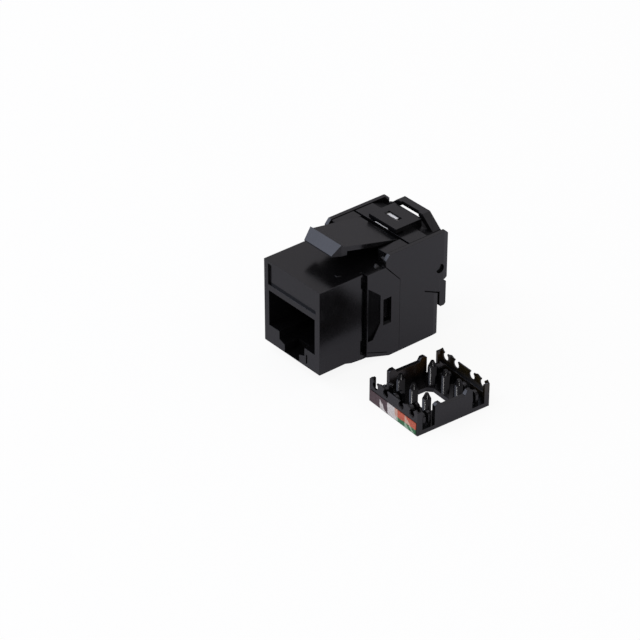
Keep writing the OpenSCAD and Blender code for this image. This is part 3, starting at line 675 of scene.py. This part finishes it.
class JACK_OT_latch(bpy.types.Operator):
    """Round the panel latch"""

    bl_idname = "jack.latch"
    bl_label = "Panel Latch"

    def execute(self, context):
        shape, looks = context.scene.jack_shape, context.scene.jack_colours
        piece = merged_copy("panel_latch", "panel_latch_moulding")
        places = [v.co for v in piece.data.vertices]
        top = max(place.z for place in places)
        # Raised lip along the nose's upper edge, and the row of points below it
        for place in places:
            if place.z > top - LIP_BAND:
                place.z += LIP_RISE
            elif place.z > top - NOSE_BAND:
                place.y += NOSE_BACK
                place.z -= NOSE_SINK
        rear = max(place.y for place in places)
        for place in places:
            if place.y > rear - SAME_PLACE:
                place.y -= LATCH_SHORTEN
        round_edges(piece, shape.fine_edge, SHORT_EDGE)
        black = black_plastic("latch_plastic", looks, spread=0.08, bump=0.06)
        dress(piece, black, "latch", "latch", "panel_latch")

        def behind_lip(face):
            return min(face.normal.y, face.normal.z) > TURNED and face.center.z > top - LIP_BACK_BAND

        # The back of the lip gets a dulled copy of the plastic: painted shade
        refinish(piece, plastic("latch_lip_painted_shade", looks.plastic, *DULL_PAINTED_SHADE), behind_lip)
        return {"FINISHED"}


def in_tongue_shade(face):
    """Whether a face of the cover is the tongue's front, its slope or the deck behind it."""
    normal, height, depth = face.normal, face.center.z / MM, face.center.y / MM
    front = normal.y < -STEEP and height > TONGUE_FOOT
    leans_back = normal.y > LEANING and normal.z > STEEP
    slope = leans_back and depth > SLOPE_START and height < SLOPE_TOP
    deck = normal.z > LEVEL and depth > DECK_START and height < DECK_TOP
    return front or slope or deck


class JACK_OT_cover(bpy.types.Operator):
    """Round the rear cover and lay the pale insert of painted light under its tongue"""

    bl_idname = "jack.cover"
    bl_label = "Rear Cover"

    def execute(self, context):
        shape, looks = context.scene.jack_shape, context.scene.jack_colours
        piece = merged_copy("rear_cover", "rear_cover_moulding")
        round_edges(piece, shape.fine_edge, SHORT_EDGE)
        dress(piece, black_plastic("cover_plastic", looks), "cover", "housing", "rear_cover")
        # The tongue's front, its slope and the deck behind get a dulled copy of the plastic: painted shade
        refinish(piece, plastic("tongue_painted_shade", looks.plastic, *DULL_PAINTED_SHADE), in_tongue_shade)
        # The pale insert stands in for light showing through the slit and the window: painted light
        insert = blocks("tongue_insert", PAINTED_LIGHT_INSERT_BLOCKS)
        round_edges(insert, 0.5 * shape.fine_edge, INSERT_EDGE)
        dress(insert, plastic("pale_painted_light_plastic", looks.pale_painted_light, 0.35, 0.5), "cover", "label")
        return {"FINISHED"}


def on_cap(face):
    """A face's middle in millimetres: along the cap's near wall, inwards and up."""
    return Matrix.Rotation(-CAP_TURN, 3, "Z") @ (face.center - CAP_PLACE) / MM


class JACK_OT_cap(bpy.types.Operator):
    """Round the lacing cap"""

    bl_idname = "jack.cap"
    bl_label = "Lacing Cap"

    def execute(self, context):
        shape, looks = context.scene.jack_shape, context.scene.jack_colours
        piece = merged_copy("lacing_cap", "lacing_cap_moulding")
        round_edges(piece, shape.fine_edge, SHORT_EDGE, crisp=False)
        dress(piece, cap_material(looks), "jack", "cap", "lacing_cap")
        # The level floor beside the cable hole is painted a lighter grey: painted light
        floor = plastic("cap_floor_painted_light_plastic", looks.cap_floor_painted_light, 0.35, looks.gloss)
        refinish(piece, floor, lambda face: face.normal.z > LEVEL and inside(on_cap(face), CAP_FLOOR))
        # The pegs get a copy of the plastic with lower specular: painted shade inside the cap
        pegs_painted_shade = plastic("cap_peg_painted_shade", looks.plastic, *PEG_PAINTED_SHADE)
        refinish(piece, pegs_painted_shade, lambda face: inside(on_cap(face), PEGS))
        return {"FINISHED"}


class JACK_OT_label(bpy.types.Operator):
    """Print the colour strips"""

    bl_idname = "jack.label"
    bl_label = "Colour Strips"

    def execute(self, context):
        paper = strip_material(context.scene.jack_colours.paper)
        for node in ("label_near", "label_far"):
            paint(node, paper)
        return {"FINISHED"}


class JACK_OT_inside(bpy.types.Operator):
    """Finish the contacts, the board and the terminal block"""

    bl_idname = "jack.inside"
    bl_label = "Inner Pieces"

    def execute(self, context):
        looks = context.scene.jack_colours
        # The contacts' gold is darkened: painted shade inside the port
        gold = plated("gold_plating_painted_shade", looks.gold)
        tin = plated("tin_plating", looks.tin)
        for node in NODES:
            if node.startswith("port_contact"):
                paint(node, gold)
            elif node.startswith("idc_terminal"):
                paint(node, tin)
        # Carrier and terminal block get rough plastic with low specular: painted shade inside the port
        dark = plastic("inner_plastic", looks.inner, *INNER_PAINTED_SHADE)
        paint("contact_carrier", dark)
        paint("idc_block", dark)
        paint("circuit_board", board_material())
        return {"FINISHED"}


# Stage


def ray_kinds(t):
    """Whether a ray comes from the camera or through something clear, and whether from a gloss."""
    path = t.add("ShaderNodeLightPath")
    plain = t.math("MAXIMUM", path.outputs["Is Camera Ray"], path.outputs["Is Transmission Ray"])
    return plain, path.outputs["Is Glossy Ray"]


def white_world(strength):
    """White room: white to the camera, darker towards the horizon in gloss, softer as a light."""
    world = bpy.data.worlds.new("white_room")
    world.use_nodes = True
    t = Tree(world.node_tree)
    background = world.node_tree.nodes["Background"]
    plain, glossy = ray_kinds(t)
    height = t.split(t.add("ShaderNodeTexCoord").outputs["Generated"])[2]
    level = t.math("MULTIPLY_ADD", plain, 1.0 - strength, strength)
    level = t.fade(glossy, level, t.remap(height, 0.0, 1.0, *SKY_GLOSS))
    t.link(level, background.inputs["Strength"])
    tint = t.mix(glossy, WARM_LIGHT, SKY_GLOSS_TINT)
    t.link(t.mix(plain, tint, WHITE), background.inputs["Color"])
    bpy.context.scene.world = world


def floor_material():
    """White floor that keeps a soft shadow."""
    material, t, shader = blank_material("white_floor")
    t.put(shader.inputs["Base Color"], (0.9, 0.9, 0.9, 1.0))
    t.put(shader.inputs["Roughness"], 0.8)
    t.put(shader.inputs["Specular IOR Level"], 0.1)
    plain, glossy = ray_kinds(t)
    light = t.add("ShaderNodeEmission")
    t.link(t.mix(glossy, WHITE, FLOOR_GLOSS_TINT), light.inputs["Color"])
    # In gloss the floor is darker in front of the jack and lighter behind it
    x, y, _ = t.split(t.place())
    behind = t.math("MULTIPLY_ADD", x, FLOOR_WAY[0], t.math("MULTIPLY", y, FLOOR_WAY[1]))
    level = t.remap(behind, *FLOOR_DEPTHS, *FLOOR_GLOSS)
    t.link(t.fade(glossy, plain, level), light.inputs["Strength"])
    blend = t.add("ShaderNodeMixShader")
    to_camera, to_gloss = FLOOR_SHARES
    share = t.math("MULTIPLY_ADD", glossy, to_gloss, t.math("MULTIPLY", plain, to_camera))
    t.link(share, blend.inputs[0])
    t.link(shader.outputs[0], blend.inputs[1])
    t.link(light.outputs[0], blend.inputs[2])
    t.link(blend.outputs[0], material.node_tree.nodes["Material Output"].inputs["Surface"])
    return material


def add_lamp(name, way, side, radiance, tint=WHITE):
    """A square lamp a metre away from the jack, with its radiance against white."""
    away = Vector(way).normalized()
    bpy.ops.object.light_add(type="AREA", location=LAMP_AIM + away)
    lamp = bpy.context.object
    lamp.name = name
    lamp.rotation_euler = away.to_track_quat("Z", "Y").to_euler()
    lamp.data.shape = "SQUARE"
    lamp.data.size = side
    lamp.data.energy = radiance * math.pi * side * side
    lamp.data.color = tint


class JACK_OT_stage(bpy.types.Operator):
    """Set the floor, lamps and camera"""

    bl_idname = "jack.stage"
    bl_label = "Stage"

    def execute(self, context):
        setup = context.scene.jack_stage
        white_world(setup.sky)
        bpy.ops.object.select_all(action="DESELECT")
        bpy.ops.mesh.primitive_plane_add(size=FLOOR_SIDE, location=(0.0, 0.0, 0.0))
        floor = context.object
        floor.name = "floor"
        floor.data.materials.append(floor_material())
        # Large soft lamp up to the left, in front of the jack
        add_lamp("key_lamp", KEY_WAY, KEY_SIDE, setup.key, KEY_COLOUR)
        # Small bright lamps, low on the right and high in front, for glints on cones and corners
        for name, way in GLINT_WAYS.items():
            add_lamp(name, way, GLINT_SIDE, setup.glint)
        bpy.ops.object.camera_add(location=CAMERA_PLACE)
        camera = context.object
        camera.name = "photo_camera"
        camera.rotation_euler = (math.pi / 2 - setup.elevation, 0.0, setup.azimuth)
        camera.data.lens = setup.lens
        camera.data.sensor_width = SENSOR
        camera.data.clip_start = CLIP_START
        context.scene.camera = camera
        context.scene.view_settings.view_transform = "Standard"
        return {"FINISHED"}


# Add-on

STEPS = ("housings", "latch", "cover", "cap", "label", "inside", "stage")


class JACK_PT_looks(bpy.types.Panel):
    """Lists the pieces of the jack"""

    bl_label = "Keystone Jack"
    bl_idname = "JACK_PT_looks"
    bl_space_type = "VIEW_3D"
    bl_region_type = "UI"
    bl_category = "Jack"

    def draw(self, context):
        for step in STEPS:
            self.layout.operator("jack." + step)
        for group in (context.scene.jack_shape, context.scene.jack_colours, context.scene.jack_stage):
            for key in group.bl_rna.properties.keys():
                if key not in ("rna_type", "name"):
                    self.layout.prop(group, key)


CLASSES = (
    JackShape, JackColours, JackStage,
    JACK_OT_housings, JACK_OT_latch, JACK_OT_cover, JACK_OT_cap, JACK_OT_label, JACK_OT_inside,
    JACK_OT_stage, JACK_PT_looks,
)


def register():
    for cls in CLASSES:
        bpy.utils.register_class(cls)
    bpy.types.Scene.jack_shape = bpy.props.PointerProperty(type=JackShape)
    bpy.types.Scene.jack_colours = bpy.props.PointerProperty(type=JackColours)
    bpy.types.Scene.jack_stage = bpy.props.PointerProperty(type=JackStage)


def unregister():
    del bpy.types.Scene.jack_stage
    del bpy.types.Scene.jack_colours
    del bpy.types.Scene.jack_shape
    for cls in reversed(CLASSES):
        bpy.utils.unregister_class(cls)


def main():
    """Builds every piece and the stage."""
    register()
    for step in STEPS:
        getattr(bpy.ops.jack, step)()


if __name__ == "__main__":
    main()
